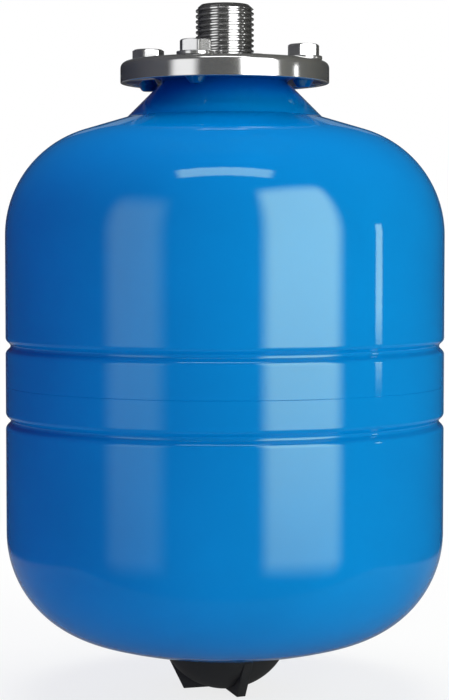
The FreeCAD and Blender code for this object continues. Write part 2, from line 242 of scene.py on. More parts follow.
class Graph:
    """A shader or geometry node tree, with one method that adds every kind of node."""

    def __init__(self, tree):
        self.tree = tree
        tree.nodes.clear()

    def node(self, kind, settings=None, sockets=None):
        node = self.tree.nodes.new(kind)
        for name, value in (settings or {}).items():
            if name == "stops":
                self.set_stops(node.color_ramp, value)
            else:
                setattr(node, name, value)
        for key, value in (sockets or {}).items():
            if isinstance(value, Link):
                self.tree.links.new(value.socket, node.inputs[key])
            else:
                node.inputs[key].default_value = value
        return node

    def set_stops(self, ramp, stops):
        while len(ramp.elements) < len(stops):
            ramp.elements.new(0.5)
        for element, (position, colour) in zip(ramp.elements, stops):
            element.position = position
            element.color = colour

    def value(self, kind, output, settings=None, sockets=None):
        """Adds a node and gives one of its outputs."""
        return Link(self, self.node(kind, settings, sockets).outputs[output])

    def math(self, operation, *values):
        return self.value("ShaderNodeMath", "Value", {"operation": operation}, dict(enumerate(values)))

    def place(self):
        """The point's Object coordinates, as three numbers."""
        where = self.value("ShaderNodeTexCoord", "Object")
        parts = self.node("ShaderNodeSeparateXYZ", None, {"Vector": where})
        return [Link(self, parts.outputs[axis]) for axis in "XYZ"]

    def point(self, x, y, z):
        return self.value("ShaderNodeCombineXYZ", "Vector", None, {"X": x, "Y": y, "Z": z})

    def noise(self, where, scale, detail=2.0, roughness=0.5):
        return self.value(
            "ShaderNodeTexNoise", "Fac", None,
            {"Vector": where, "Scale": scale, "Detail": detail, "Roughness": roughness},
        )

    def mixed_colour(self, share, first, second):
        node = self.node("ShaderNodeMix", {"data_type": "RGBA"}, {0: share, 6: first, 7: second})
        return Link(self, node.outputs[2])

    def bump(self, height, distance, strength, under=None):
        sockets = {"Height": height, "Distance": distance, "Strength": strength}
        if under is not None:
            sockets["Normal"] = under
        return self.value("ShaderNodeBump", "Normal", None, sockets)


def new_material(name):
    material = bpy.data.materials.new(name)
    material.use_nodes = True
    return material, Graph(material.node_tree)


def finish_material(material, graph, sockets):
    """Ends a material in a Principled shader with these inputs."""
    shader = graph.value("ShaderNodeBsdfPrincipled", "BSDF", None, sockets)
    graph.node("ShaderNodeOutputMaterial", None, {"Surface": shader})
    return material


def rgb(red, green, blue):
    return (red, green, blue, 1.0)


def blue_paint(name, dark, bright, painted_shade, gloss):
    """Glossy powder paint: a faint orange peel, with slow changes of tone and gloss.

    Its tone lies between dark and bright, and turns to the painted shade colour up the neck, a darker blue that
    stands in for the flange's shadow. gloss sets how strongly it mirrors.
    """
    material, graph = new_material(name)
    x, y, z = graph.place()
    where = graph.point(x, y, z)
    tone = graph.noise(where, 14.0, 3.0)
    peel = graph.noise(where, 420.0, 2.0)
    grain = graph.noise(where, 2600.0, 1.0)
    colour = graph.mixed_colour(tone.ramp(0.3, 0.7), rgb(*dark), rgb(*bright))
    # Painted shade: the colour darkens up the neck, as if in the flange's shadow
    colour = graph.mixed_colour(z.ramp(COLLAR_LOW - NECK_PAINTED_SHADE_HEIGHT, COLLAR_LOW), colour, rgb(*painted_shade))
    normal = graph.bump(peel, 0.00002, 0.35)
    normal = graph.bump(grain, 0.000004, 0.3, normal)
    return finish_material(material, graph, {
        "Base Color": colour,
        "Roughness": 0.035 + tone * 0.015,
        "Specular IOR Level": gloss,
        "Specular Tint": rgb(0.72, 1.0, 0.58),
        "Normal": normal,
    })


def turned_steel(name, bright, dark, metallic, roughness):
    """Turned stainless steel, with fine rings round the axis and faint smudges."""
    material, graph = new_material(name)
    x, y, z = graph.place()
    radius = (x * x + y * y) ** 0.5
    rings = graph.noise(graph.point(radius * 9000.0, z * 9000.0, 0.0), 1.0, 3.0, 0.7)
    smudge = graph.noise(graph.point(x, y, z), 90.0, 3.0)
    colour = graph.mixed_colour(rings * 0.6 + smudge * 0.4, rgb(*dark), rgb(*bright))
    return finish_material(material, graph, {
        "Base Color": colour,
        "Metallic": metallic,
        "Roughness": roughness + rings * 0.03 + smudge * 0.03,
        "Normal": graph.bump(rings, 0.0000005, 0.1),
    })


def threaded_steel():
    """The nipple's cut thread: bright crests, flanks and roots darkened as painted shade, and fine cutting marks.
    """
    material, graph = new_material("cut_steel_thread")
    x, y, z = graph.place()
    radius = (x * x + y * y) ** 0.5
    depth = radius.ramp(NIPPLE_RADIUS - THREAD_DEPTH, NIPPLE_RADIUS)
    marks = graph.noise(graph.point(x * 300.0, y * 300.0, z * 9000.0), 1.0, 3.0, 0.7)
    # Painted shade: the colour darkens from the crests down into the grooves
    colour = graph.mixed_colour(depth * 0.6 + marks * 0.4, rgb(0.32, 0.32, 0.32), rgb(0.64, 0.64, 0.64))
    return finish_material(material, graph, {
        "Base Color": colour,
        "Metallic": 0.95,
        "Roughness": 0.15 - depth * 0.05 + marks * 0.04,
        "Normal": graph.bump(marks, 0.0000005, 0.1),
    })


def bright_zinc():
    """Bright zinc on the bolts and washers: pale, a little cloudy, finely scratched."""
    material, graph = new_material("bright_zinc")
    x, y, z = graph.place()
    cloud = graph.noise(graph.point(x, y, z), 260.0, 4.0, 0.6)
    scratch = graph.noise(graph.point(x * 4000.0, y * 900.0, z * 4000.0), 1.0, 2.0)
    colour = graph.mixed_colour(cloud, rgb(0.48, 0.48, 0.49), rgb(0.56, 0.56, 0.56))
    return finish_material(material, graph, {
        "Base Color": colour,
        "Metallic": 0.88,
        "Roughness": 0.17 + cloud * 0.06,
        "Normal": graph.bump(scratch, 0.0000002, 0.1),
    })


def plain_steel():
    """Bare mill steel inside the tank."""
    material, graph = new_material("plain_steel")
    where = graph.point(*graph.place())
    cloud = graph.noise(where, 60.0, 5.0, 0.6)
    grain = graph.noise(where, 2400.0, 2.0)
    colour = graph.mixed_colour(cloud, rgb(0.3, 0.3, 0.3), rgb(0.52, 0.52, 0.52))
    return finish_material(material, graph, {
        "Base Color": colour,
        "Metallic": 1.0,
        "Roughness": 0.35 + cloud * 0.2,
        "Normal": graph.bump(grain, 0.00001, 0.4),
    })


def machined_brass():
    material, graph = new_material("machined_brass")
    x, y, z = graph.place()
    rings = graph.noise(graph.point(x * 200.0, y * 200.0, z * 12000.0), 1.0, 3.0, 0.7)
    tarnish = graph.noise(graph.point(x, y, z), 300.0, 4.0, 0.6)
    colour = graph.mixed_colour(tarnish, rgb(0.55, 0.36, 0.13), rgb(0.82, 0.6, 0.28))
    return finish_material(material, graph, {
        "Base Color": colour,
        "Metallic": 1.0,
        "Roughness": 0.2 + rings * 0.12 + tarnish * 0.1,
        "Normal": graph.bump(rings, 0.000008, 0.5),
    })


def black_rubber(name, scale):
    """Matt black rubber with a fine moulded grain."""
    material, graph = new_material(name)
    where = graph.point(*graph.place())
    bloom = graph.noise(where, 40.0, 4.0, 0.6)
    grain = graph.noise(where, scale, 3.0, 0.7)
    colour = graph.mixed_colour(bloom, rgb(0.016, 0.016, 0.017), rgb(0.034, 0.034, 0.035))
    return finish_material(material, graph, {
        "Base Color": colour,
        "Roughness": 0.62 + grain * 0.2,
        "Normal": graph.bump(grain, 0.00003, 0.5),
    })


def black_plastic():
    """The cap's moulded plastic: a satin black with a fine spark-eroded texture."""
    material, graph = new_material("satin_black_plastic")
    where = graph.point(*graph.place())
    flow = graph.noise(where, 70.0, 4.0, 0.6)
    texture = graph.noise(where, 1900.0, 2.0, 0.6)
    colour = graph.mixed_colour(flow, rgb(0.010, 0.011, 0.013), rgb(0.019, 0.020, 0.023))
    return finish_material(material, graph, {
        "Base Color": colour,
        "Roughness": 0.42 + flow * 0.16,
        "Normal": graph.bump(texture, 0.00002, 0.35),
    })


def rounded(corners, step=math.radians(5), closed=False):
    """Points (radius, height) through corners (radius, height, rounding), with arcs at the rounded ones."""
    if closed:
        corners = [corners[-1]] + corners + [corners[0]]
    points = [] if closed else [Vector(corners[0][:2])]
    for before, corner, after in zip(corners, corners[1:], corners[2:]):
        here = Vector(corner[:2])
        if corner[2] == 0:
            points.append(here)
            continue
        back = (Vector(before[:2]) - here).normalized()
        ahead = (Vector(after[:2]) - here).normalized()
        half_angle = back.angle(ahead) / 2
        centre = here + (back + ahead).normalized() * corner[2] / math.sin(half_angle)
        spoke = here + back * corner[2] / math.tan(half_angle) - centre
        turn = math.pi - 2 * half_angle
        if back.cross(ahead) > 0:
            turn = -turn
        count = max(2, math.ceil(abs(turn) / step))
        for number in range(count + 1):
            points.append(centre + Matrix.Rotation(turn * number / count, 2) @ spoke)
    if not closed:
        points.append(Vector(corners[-1][:2]))
    return points


def arc(centre, radius, start, end, step=math.radians(1.5)):
    """Points of an arc about centre, at angles from the outward direction."""
    count = max(2, math.ceil(abs(end - start) / step))
    angles = [start + (end - start) * number / count for number in range(count + 1)]
    return [Vector((centre[0] + radius * math.cos(a), centre[1] + radius * math.sin(a))) for a in angles]


def walled(points, wall):
    """A closed outline: the outer points, then the same line a wall further in."""
    inner = []
    for number, here in enumerate(points):
        along = points[min(number + 1, len(points) - 1)] - points[max(number - 1, 0)]
        along.normalize()
        inner.append(here + Vector((along.y, -along.x)) * wall)
    return points + inner[::-1]


def smooth_by_angle(mesh, degrees=28):
    for polygon in mesh.polygons:
        polygon.use_smooth = True
    mesh.set_sharp_from_angle(angle=math.radians(degrees))


def new_object(name, mesh):
    piece = bpy.data.objects.new(name, mesh)
    bpy.context.scene.collection.objects.link(piece)
    return piece


def mesh_from(name, fill):
    """A mesh that fill makes in a bmesh, with its doubles merged and its faces turned outwards."""
    work = bmesh.new()
    fill(work)
    bmesh.ops.remove_doubles(work, verts=work.verts, dist=1e-7)
    bmesh.ops.recalc_face_normals(work, faces=work.faces)
    mesh = bpy.data.meshes.new(name)
    work.to_mesh(mesh)
    work.free()
    smooth_by_angle(mesh)
    return mesh


def lathe(name, outline, around=192):
    """A solid turned from a closed outline of (radius, height) points."""

    def fill(work):
        rings = []
        for radius, height in outline:
            count = 1 if radius < 1e-9 else around
            rings.append([
                work.verts.new((radius * math.cos(a), radius * math.sin(a), height))
                for a in (2 * math.pi * side / around for side in range(count))
            ])
        for ring, following in zip(rings, rings[1:] + rings[:1]):
            for side in range(around):
                corners = [
                    ring[side % len(ring)], ring[(side + 1) % len(ring)],
                    following[(side + 1) % len(following)], following[side % len(following)],
                ]
                corners = list(dict.fromkeys(corners))
                if len(corners) > 2:
                    work.faces.new(corners)

    return new_object(name, mesh_from(name, fill))


def rod(name, radius, low, high, around):
    """A plain round bar, for the holes that it cuts."""
    return lathe(name, [Vector((0, low)), Vector((radius, low)), Vector((radius, high)), Vector((0, high))],
                 around)


def evaluated_copy(piece):
    """Turns a piece's modifiers into a plain mesh, and removes them."""
    scene_state = bpy.context.evaluated_depsgraph_get()
    mesh = bpy.data.meshes.new_from_object(piece.evaluated_get(scene_state))
    piece.modifiers.clear()
    piece.data = mesh
    mesh.name = piece.name
    return piece


def join_solids(piece, others, operation):
    """Adds other closed pieces to a piece, or cuts them from it, and deletes them."""
    for other in others:
        modifier = piece.modifiers.new("join", "BOOLEAN")
        modifier.operation = operation
        modifier.solver = "EXACT"
        modifier.object = other
    evaluated_copy(piece)
    for other in others:
        bpy.data.objects.remove(other)
    smooth_by_angle(piece.data)
    return piece


def tree_input(tree, name, kind, default=None):
    socket = tree.interface.new_socket(name, in_out="INPUT", socket_type=kind)
    if default is not None:
        socket.default_value = default
    return socket


def run_tree(piece, tree, values):
    """Runs a geometry tree on a piece, with its inputs set by identifier, and keeps the plain mesh."""
    modifier = piece.modifiers.new("tree", "NODES")
    identifiers = {
        item.name: item.identifier for item in tree.interface.items_tree if item.in_out == "INPUT"
    }
    modifier.node_group = tree
    for name, value in values.items():
        modifier[identifiers[name]] = value
    return evaluated_copy(piece)


def repeat_tree():
    """Geometry nodes that set copies of a piece on a circle about the Z axis."""
    tree = bpy.data.node_groups.new("copies_on_a_circle", "GeometryNodeTree")
    tree_input(tree, "Geometry", "NodeSocketGeometry")
    tree_input(tree, "Count", "NodeSocketInt", 4)
    tree_input(tree, "Circle Radius", "NodeSocketFloat", 0.0)
    tree_input(tree, "Start Angle", "NodeSocketFloat", 0.0)
    tree_input(tree, "Follow Circle", "NodeSocketFloat", 0.0)
    for number in range(1, 5):
        tree_input(tree, f"Turn {number}", "NodeSocketFloat", 0.0)
    tree_input(tree, "Material", "NodeSocketMaterial")
    tree.interface.new_socket("Geometry", in_out="OUTPUT", socket_type="NodeSocketGeometry")
    graph = Graph(tree)
    inputs = graph.node("NodeGroupInput")

    def given(name):
        return Link(graph, inputs.outputs[name])

    index = graph.value("GeometryNodeInputIndex", "Index")
    angle = given("Start Angle") + index * (2 * math.pi) / given("Count")
    radius = given("Circle Radius")
    place = graph.point(radius * angle.cosine(), radius * angle.sine(), 0.0)
    points = graph.value("GeometryNodePoints", "Points", None, {"Count": given("Count"), "Position": place})
    switch = graph.node("GeometryNodeIndexSwitch", {"data_type": "FLOAT"})
    while len(switch.index_switch_items) < 4:
        switch.index_switch_items.new()
    graph.tree.links.new(index.socket, switch.inputs["Index"])
    for number in range(1, 5):
        graph.tree.links.new(given(f"Turn {number}").socket, switch.inputs[number])
    turn = angle * given("Follow Circle") + Link(graph, switch.outputs[0])
    copies = graph.value("GeometryNodeInstanceOnPoints", "Instances", None, {
        "Points": points, "Instance": given("Geometry"), "Rotation": graph.point(0.0, 0.0, turn),
    })
    solid = graph.value("GeometryNodeRealizeInstances", "Geometry", None, {"Geometry": copies})
    dressed = graph.value("GeometryNodeSetMaterial", "Geometry", None, {
        "Geometry": solid, "Material": given("Material"),
    })
    graph.node("NodeGroupOutput", None, {"Geometry": dressed})
    return tree


def thread_tree():
    """Geometry nodes that bend a grid round the axis into a thread, with its rows along the helix."""
    tree = bpy.data.node_groups.new("pipe_thread", "GeometryNodeTree")
    tree_input(tree, "Geometry", "NodeSocketGeometry")
    for name in ("Radius", "Depth", "Pitch", "Crest Share", "Root Share", "Bottom", "Top", "Crest Height",
                 "Bevel Width", "Bevel Height"):
        tree_input(tree, name, "NodeSocketFloat", 0.0)
    tree_input(tree, "Turns", "NodeSocketInt", 2)
    tree_input(tree, "Rows Per Turn", "NodeSocketInt", 10)
    tree_input(tree, "Around", "NodeSocketInt", 16)
    tree_input(tree, "Material", "NodeSocketMaterial")
    tree.interface.new_socket("Geometry", in_out="OUTPUT", socket_type="NodeSocketGeometry")
    graph = Graph(tree)
    inputs = graph.node("NodeGroupInput")

    def given(name):
        return Link(graph, inputs.outputs[name])

    rows = given("Turns") * given("Rows Per Turn") + 1.0
    grid = graph.value("GeometryNodeMeshGrid", "Mesh", None, {
        "Size X": 1.0, "Size Y": 1.0, "Vertices X": rows, "Vertices Y": given("Around"),
    })
    parts = graph.node("ShaderNodeSeparateXYZ", None, {"Vector": graph.value("GeometryNodeInputPosition", 0)})
    share = Link(graph, parts.outputs["X"]) + 0.5
    angle = (Link(graph, parts.outputs["Y"]) + 0.5) * (2 * math.pi)
    front_turn = (angle + math.pi / 2) / (2 * math.pi)
    row_turn = (share - 1.0) * given("Turns") + 1.0 + front_turn
    height = (given("Crest Height") + row_turn * given("Pitch")).most(given("Bottom")).least(given("Top"))
    phase = ((height - given("Crest Height")) / given("Pitch") - front_turn + 0.5).fraction()
    off_crest = (phase - 0.5).size() * 2.0
    flank_share = 1.0 - given("Crest Share") - given("Root Share")
    groove = ((off_crest - given("Crest Share")) / flank_share).most(0.0).least(1.0)
    cut = given("Radius") - groove * given("Depth")
    slope = given("Bevel Width") / given("Bevel Height")
    bevel = given("Radius") - (height - given("Top") + given("Bevel Height")) * slope
    radius = cut.least(bevel)
    place = graph.point(radius * angle.cosine(), radius * angle.sine(), height)
    bent = graph.value("GeometryNodeSetPosition", "Geometry", None, {"Geometry": grid, "Position": place})
    joint = graph.node("GeometryNodeJoinGeometry")
    graph.tree.links.new(given("Geometry").socket, joint.inputs[0])
    graph.tree.links.new(bent.socket, joint.inputs[0])
    merged = graph.value("GeometryNodeMergeByDistance", "Geometry", None, {
        "Geometry": Link(graph, joint.outputs[0]), "Distance": THREAD_MERGE_DISTANCE,
    })
    dressed = graph.value("GeometryNodeSetMaterial", "Geometry", None, {
        "Geometry": merged, "Material": given("Material"),
    })
    graph.node("NodeGroupOutput", None, {"Geometry": dressed})
    return tree


def spring_tree():
    """Geometry nodes that wind a round wire into a coil spring."""
    tree = bpy.data.node_groups.new("coil_spring", "GeometryNodeTree")
    tree_input(tree, "Geometry", "NodeSocketGeometry")
    for name in ("Turns", "Coil Radius", "Wire Radius", "Bottom", "Top"):
        tree_input(tree, name, "NodeSocketFloat", 0.0)
    tree_input(tree, "Points", "NodeSocketInt", 16)
    tree_input(tree, "Material", "NodeSocketMaterial")
    tree.interface.new_socket("Geometry", in_out="OUTPUT", socket_type="NodeSocketGeometry")
    graph = Graph(tree)
    inputs = graph.node("NodeGroupInput")

    def given(name):
        return Link(graph, inputs.outputs[name])

    line = graph.value("GeometryNodeCurvePrimitiveLine", "Curve")
    path = graph.value("GeometryNodeResampleCurve", "Curve", None, {"Curve": line, "Count": given("Points")})
    along = graph.value("GeometryNodeSplineParameter", "Factor")
    angle = along * given("Turns") * (2 * math.pi)
    height = given("Bottom") + along * (given("Top") - given("Bottom"))
    radius = given("Coil Radius")
    place = graph.point(radius * angle.cosine(), radius * angle.sine(), height)
    coil = graph.value("GeometryNodeSetPosition", "Geometry", None, {"Geometry": path, "Position": place})
    ring = graph.value("GeometryNodeCurvePrimitiveCircle", "Curve", None, {
        "Resolution": 12, "Radius": given("Wire Radius"),
    })
    wire = graph.value("GeometryNodeCurveToMesh", "Mesh", None, {
        "Curve": coil, "Profile Curve": ring, "Fill Caps": True,
    })
    dressed = graph.value("GeometryNodeSetMaterial", "Geometry", None, {
        "Geometry": wire, "Material": given("Material"),
    })
    graph.node("NodeGroupOutput", None, {"Geometry": dressed})
    return tree


def dress(piece, material, body, slot, *nodes):
    """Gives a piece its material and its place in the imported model."""
    piece.data.materials.clear()
    piece.data.materials.append(material)
    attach(piece, body)
    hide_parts(*nodes)
    return piece


def groove_corners(height):
    depth = GROOVE_DEPTH + GROOVE_ROOT_RADIUS * (math.sqrt(2) - 1)
    return [
        (TANK_RADIUS, height + depth, GROOVE_SHOULDER_RADIUS),
        (TANK_RADIUS - depth, height, GROOVE_ROOT_RADIUS),
        (TANK_RADIUS, height - depth, GROOVE_SHOULDER_RADIUS),
    ]


def make_upper_shell():
    neck_base = COLLAR_LOW - (NECK_BASE_RADIUS - NECK_TOP_RADIUS)
    corner = neck_base - (TANK_RADIUS - NECK_BASE_RADIUS) * math.tan(SHOULDER_ANGLE)
    outer = rounded([
        (NECK_TOP_RADIUS, COLLAR_LOW, 0),
        (NECK_BASE_RADIUS, neck_base, NECK_CORNER_RADIUS),
        (TANK_RADIUS, corner, KNUCKLE_RADIUS),
        *groove_corners(SEAM + SEAM_BELOW_GROOVES + GROOVE_SPACING / 2),
        (TANK_RADIUS, SEAM + SEAM_BEVEL, 0),
        (TANK_RADIUS - SEAM_BEVEL, SEAM, 0),
    ], step=math.radians(2))
    return lathe("painted_upper_shell", walled(outer, SHELL_WALL), around=256)


def make_lower_shell():
    tilt = math.asin((TANK_RADIUS - KNUCKLE_RADIUS) / (CROWN_RADIUS - KNUCKLE_RADIUS))
    hole_tilt = math.asin(VALVE_HOLE_RADIUS / CROWN_RADIUS)
    side = rounded([
        (TANK_RADIUS - SEAM_BEVEL, SEAM, 0),
        (TANK_RADIUS, SEAM - SEAM_BEVEL, 0),
        *groove_corners(SEAM + SEAM_BELOW_GROOVES - GROOVE_SPACING / 2),
        (TANK_RADIUS, CYLINDER_BOTTOM + SEAM_BEVEL, 0),
    ], step=math.radians(2))
    knuckle = arc((TANK_RADIUS - KNUCKLE_RADIUS, CYLINDER_BOTTOM), KNUCKLE_RADIUS, 0, tilt - math.pi / 2)
    crown = arc((0, CROWN_CENTRE), CROWN_RADIUS, tilt - math.pi / 2, hole_tilt - math.pi / 2)
    return lathe("painted_lower_shell", walled(side + knuckle + crown[1:], SHELL_WALL), around=256)


def make_collar(repeat, paint):
    collar = lathe("painted_neck_collar", rounded([
        (COLLAR_BORE_RADIUS, COLLAR_LOW, COLLAR_EDGE_RADIUS / 2),
        (COLLAR_RADIUS, COLLAR_LOW, COLLAR_EDGE_RADIUS),
        (COLLAR_RADIUS, COLLAR_HIGH, COLLAR_EDGE_RADIUS),
        (COLLAR_BORE_RADIUS, COLLAR_HIGH, COLLAR_EDGE_RADIUS / 2),
    ], closed=True, step=math.radians(20)), around=128)
    middle = (COLLAR_LOW + COLLAR_HIGH) / 2
    bosses = lathe("bosses", rounded([
        (0, middle, 0),
        (BOSS_TOP_RADIUS, middle, 0),
        (BOSS_TOP_RADIUS, COLLAR_LOW, COLLAR_EDGE_RADIUS),
        (BOSS_BOTTOM_RADIUS, COLLAR_LOW - BOSS_HEIGHT, BOSS_ROUNDING),
        (0, COLLAR_LOW - BOSS_HEIGHT, 0),
    ], step=math.radians(12)), around=40)
    on_bolt_circle(bosses, repeat, paint)
    threads = rod("threads", BOLT_RADIUS, BOLT_TIP - BOLT_TIP_CLEARANCE, COLLAR_HIGH + CUT_OVERSHOOT,
                  around=32)
    on_bolt_circle(threads, repeat, paint)
    join_solids(collar, [bosses], "UNION")
    return join_solids(collar, [threads], "DIFFERENCE")


def on_bolt_circle(piece, repeat, material, turns=(0, 0, 0, 0)):
    values = {
        "Count": BOLT_COUNT, "Circle Radius": BOLT_CIRCLE_RADIUS, "Start Angle": BOLT_START_ANGLE,
        "Follow Circle": 0.0, "Material": material,
    }
    for number, turn in enumerate(turns, start=1):
        values[f"Turn {number}"] = math.radians(turn)
    return run_tree(piece, repeat, values)


def make_flange(repeat, steel):
    rim_inner = FLANGE_RADIUS - FLANGE_RIM_WALL
    flange = lathe("turned_flange", rounded([
        (NIPPLE_TAIL_RADIUS, 0, 0),
        (FLANGE_RADIUS, 0, FLANGE_EDGE_RADIUS),
        (FLANGE_RADIUS, FLANGE_LOW, FLANGE_RIM_ROUNDING),
        (rim_inner, FLANGE_LOW, RIM_INNER_ROUNDING),
        (rim_inner, -FLANGE_THICKNESS, RIM_INNER_ROUNDING),
        (NIPPLE_TAIL_RADIUS, -FLANGE_THICKNESS, 0),
    ], closed=True, step=math.radians(9)), around=256)
    holes = rod("holes", BOLT_HOLE_RADIUS, -2 * FLANGE_THICKNESS, FLANGE_THICKNESS, around=40)
    on_bolt_circle(holes, repeat, steel)
    return join_solids(flange, [holes], "DIFFERENCE")


def make_nipple(steel):
    """The threaded outside from the tree, closed by the bore and the two end faces."""
    around = 160
    tip_radius = NIPPLE_RADIUS - NIPPLE_BEVEL_WIDTH

    def bore(work):
        outline = [
            (tip_radius, NIPPLE_HIGH), (NIPPLE_BORE_RADIUS + NIPPLE_BORE_BEVEL, NIPPLE_HIGH),
            (NIPPLE_BORE_RADIUS, NIPPLE_HIGH - NIPPLE_BORE_BEVEL), (NIPPLE_BORE_RADIUS, NIPPLE_LOW),
            (NIPPLE_TAIL_RADIUS, NIPPLE_LOW), (NIPPLE_TAIL_RADIUS, 0),
        ]
        angles = [2 * math.pi * side / around for side in range(around)]
        rings = [
            [work.verts.new((radius * math.cos(a), radius * math.sin(a), height)) for a in angles]
            for radius, height in outline
        ]
        for ring, following in zip(rings, rings[1:]):
            for side in range(around):
                after = (side + 1) % around
                work.faces.new((ring[side], ring[after], following[after], following[side]))

    nipple = new_object("threaded_nipple", mesh_from("threaded_nipple", bore))
    run_tree(nipple, thread_tree(), {
        "Radius": NIPPLE_RADIUS, "Depth": THREAD_DEPTH, "Pitch": THREAD_PITCH,
        "Crest Share": THREAD_CREST_SHARE, "Root Share": THREAD_ROOT_SHARE,
        "Bottom": 0.0, "Top": NIPPLE_HIGH, "Crest Height": FIRST_CREST_HEIGHT,
        "Bevel Width": NIPPLE_BEVEL_WIDTH, "Bevel Height": NIPPLE_BEVEL_HEIGHT,
        "Turns": math.ceil(FIRST_CREST_HEIGHT / THREAD_PITCH) + 3,
        "Rows Per Turn": THREAD_ROWS_PER_TURN, "Around": around + 1, "Material": steel,
    })
    work = bmesh.new()
    work.from_mesh(nipple.data)
    rims = [edge for edge in work.edges if edge.is_boundary]
    bmesh.ops.bridge_loops(work, edges=rims)
    bmesh.ops.recalc_face_normals(work, faces=work.faces)
    work.to_mesh(nipple.data)
    work.free()
    smooth_by_angle(nipple.data, 40)
    return nipple


def make_bolts(repeat, zinc):
    """One bolt, repeated on the circle with each head turned as in the photo."""
    sides = 72
    flat_radius = HEAD_ACROSS_FLATS / 2 * 0.95
    chamfer = math.tan(math.radians(30))
    corner_rounding = 0.00012

    def hexagon(angle):
        off_flat = (angle + math.pi / 6) % (math.pi / 3) - math.pi / 6
        return min(HEAD_ACROSS_FLATS / 2 / math.cos(math.pi / 6 - abs(off_flat)),
                   HEAD_ACROSS_FLATS / math.sqrt(3) - corner_rounding)

    def chamfered(angle):
        return HEAD_TOP - (hexagon(angle) - flat_radius) * chamfer

    def fill(work):
        def ring(radius_of, height_of):
            angles = [2 * math.pi * side / sides for side in range(sides)]
            return [work.verts.new((radius_of(a) * math.cos(a), radius_of(a) * math.sin(a), height_of(a)))
                    for a in angles]

        def even(radius, height):
            return ring(lambda angle: radius, lambda angle: height)

        rings = [
            even(flat_radius * 0.5, HEAD_TOP),
            even(flat_radius - HEAD_EDGE / 2, HEAD_TOP),
            even(flat_radius + HEAD_EDGE / 2, HEAD_TOP - HEAD_EDGE / 2 * chamfer),
            ring(hexagon, chamfered),
            ring(hexagon, lambda angle: chamfered(angle) - HEAD_EDGE),
            ring(hexagon, lambda angle: WASHER_TOP + HEAD_EDGE),
            ring(lambda angle: hexagon(angle) - HEAD_EDGE, lambda angle: WASHER_TOP),
            even(BOLT_RADIUS, WASHER_TOP),
            even(BOLT_RADIUS, BOLT_TIP + BOLT_TIP_BEVEL),
            even(BOLT_RADIUS - BOLT_TIP_BEVEL, BOLT_TIP),
        ]
        top = work.verts.new((0, 0, HEAD_TOP))
        tip = work.verts.new((0, 0, BOLT_TIP))
        for side in range(sides):
            after = (side + 1) % sides
            work.faces.new((top, rings[0][side], rings[0][after]))
            work.faces.new((tip, rings[-1][after], rings[-1][side]))
            for above, below in zip(rings, rings[1:]):
                work.faces.new((above[side], below[side], below[after], above[after]))

    bolts = new_object("flange_bolts", mesh_from("flange_bolts", fill))
    on_bolt_circle(bolts, repeat, zinc, BOLT_HEAD_TURNS)
    smooth_by_angle(bolts.data, 20)
    return bolts


def make_washers(repeat, zinc):
    washers = lathe("bolt_washers", rounded([
        (WASHER_HOLE_RADIUS, 0, WASHER_HOLE_EDGE_RADIUS / 2),
        (WASHER_RADIUS, 0, WASHER_EDGE_RADIUS),
        (WASHER_RADIUS, WASHER_TOP, WASHER_EDGE_RADIUS),
        (WASHER_HOLE_RADIUS, WASHER_TOP, WASHER_HOLE_EDGE_RADIUS),
    ], closed=True, step=math.radians(30)), around=64)
    on_bolt_circle(washers, repeat, zinc)
    smooth_by_angle(washers.data, 40)
    return washers


def make_cap(repeat, plastic):
    """The domed cap with its inner socket, joined with three grip fins."""
    centre = POLE - CAP_HEIGHT + CAP_DOME_RADIUS
    reach = CROWN_RADIUS + CAP_RIM_GAP
    inner_radius = CAP_DOME_RADIUS - CAP_WALL
    stem_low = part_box("valve_stem")[0].z
    socket_mouth = stem_low + CAP_SOCKET_REACH
    tip_low = stem_low - CAP_TIP_CLEARANCE
    gasket_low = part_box("cap_gasket")[0].z

    def rim_angle(radius):
        """Where a sphere of the dome meets the tank's bottom, as an angle from the outward direction."""
        apart = CROWN_CENTRE - centre
        drop = (apart ** 2 + radius ** 2 - reach ** 2) / (2 * apart)
        return math.asin(drop / radius)

    outside = arc((0, centre), CAP_DOME_RADIUS, rim_angle(CAP_DOME_RADIUS), -math.pi / 2)
    socket_angle = -math.acos(CAP_SOCKET_RADIUS / inner_radius)
    inside = arc((0, centre), inner_radius, socket_angle, rim_angle(inner_radius))
    outline = outside[:-1] + [
        Vector((0, outside[-1].y)), Vector((0, tip_low)), Vector((CAP_TIP_RADIUS, tip_low)),
        Vector((CAP_TIP_RADIUS, gasket_low)), Vector((CAP_THREAD_RADIUS, gasket_low)),
        Vector((CAP_THREAD_RADIUS, socket_mouth)), Vector((CAP_SOCKET_RADIUS, socket_mouth)),
    ] + inside
    cap = lathe("finned_cap", outline, around=128)

    # The corners of a fin, as distances from the axis and heights
    fin_outline = [
        (0.0260, POLE), (0.0274, POLE), (0.0189, POLE - 0.01688), (0.006, POLE - 0.0157),
        (0.006, POLE - 0.0150), (0.0158, POLE - 0.0115), (0.0245, POLE - 0.0030),
    ]

    def fill(work):
        sides = [
            [work.verts.new((x, side * FIN_THICKNESS / 2, z)) for x, z in fin_outline] for side in (-1, 1)
        ]
        work.faces.new(sides[0])
        work.faces.new(sides[1][::-1])
        for number in range(len(fin_outline)):
            after = (number + 1) % len(fin_outline)
            work.faces.new((sides[0][after], sides[0][number], sides[1][number], sides[1][after]))

    fins = new_object("fins", mesh_from("fins", fill))
    bevel = fins.modifiers.new("edges", "BEVEL")
    bevel.width = FIN_EDGE_RADIUS
    bevel.segments = 3
    bevel.limit_method = "ANGLE"
    evaluated_copy(fins)
    run_tree(fins, repeat, {
        "Count": FIN_COUNT, "Circle Radius": 0.0, "Start Angle": FIN_START_ANGLE, "Follow Circle": 1.0,
        "Material": plastic,
    })
    return join_solids(cap, [fins], "UNION")


